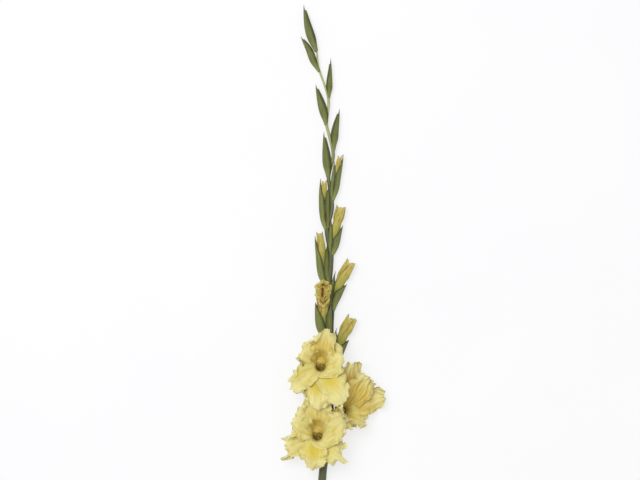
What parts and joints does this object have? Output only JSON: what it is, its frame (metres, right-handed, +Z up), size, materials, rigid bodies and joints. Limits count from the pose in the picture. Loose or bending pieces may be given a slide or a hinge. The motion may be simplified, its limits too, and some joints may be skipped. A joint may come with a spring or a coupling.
{
  "type": "cut gladiolus stem",
  "caption": "Cut flower stem lying on its back: a zigzag spike of clasping green bracts, rolled yellow buds and ruffled cream funnel blooms above a plain cut stem.",
  "frame": {"origin": "centre of the bounding box in plan, on the surface that the stem lies on", "axes": "+Y along the spike from the cut end to the tip, +Z up, the way the blooms face, +X to the right seen from above with the tip away from the viewer"},
  "size_m": [0.153, 0.9062, 0.0556],
  "materials": {
    "stem_green": "matt grey-green plant skin with olive streaks",
    "bract_green": "satin green leaf with fine lengthwise veins and dark edges",
    "bud_yellow": "matt pleated yellow petal rolled tight",
    "petal_cream": "matt soft cream petal, lemon at the lip and ochre in the throat",
    "stamen_ivory": "matt ivory"
  },
  "bodies": {
    "root": {"stem": "stem_green", "bracts_01": "bract_green", "bracts_02": "bract_green", "bracts_03": "bract_green", "bracts_04": "bract_green", "bracts_05": "bract_green", "bracts_06": "bract_green", "bracts_07": "bract_green", "bracts_08": "bract_green", "bracts_09": "bract_green", "bracts_10": "bract_green", "bracts_11": "bract_green", "bracts_12": "bract_green", "bracts_13": "bract_green", "bracts_14": "bract_green", "bracts_15": "bract_green", "bracts_16": "bract_green", "bud_07": "bud_yellow", "bud_08": "bud_yellow", "bud_09": "bud_yellow", "bud_10": "bud_yellow", "bud_11": "bud_yellow", "bud_12": "bud_yellow", "bud_13": "bud_yellow", "petals_14": "petal_cream", "petals_15": "petal_cream", "petals_16": "petal_cream", "stamens_14": "stamen_ivory", "stamens_15": "stamen_ivory", "stamens_16": "stamen_ivory"}
  },
  "joints": []
}
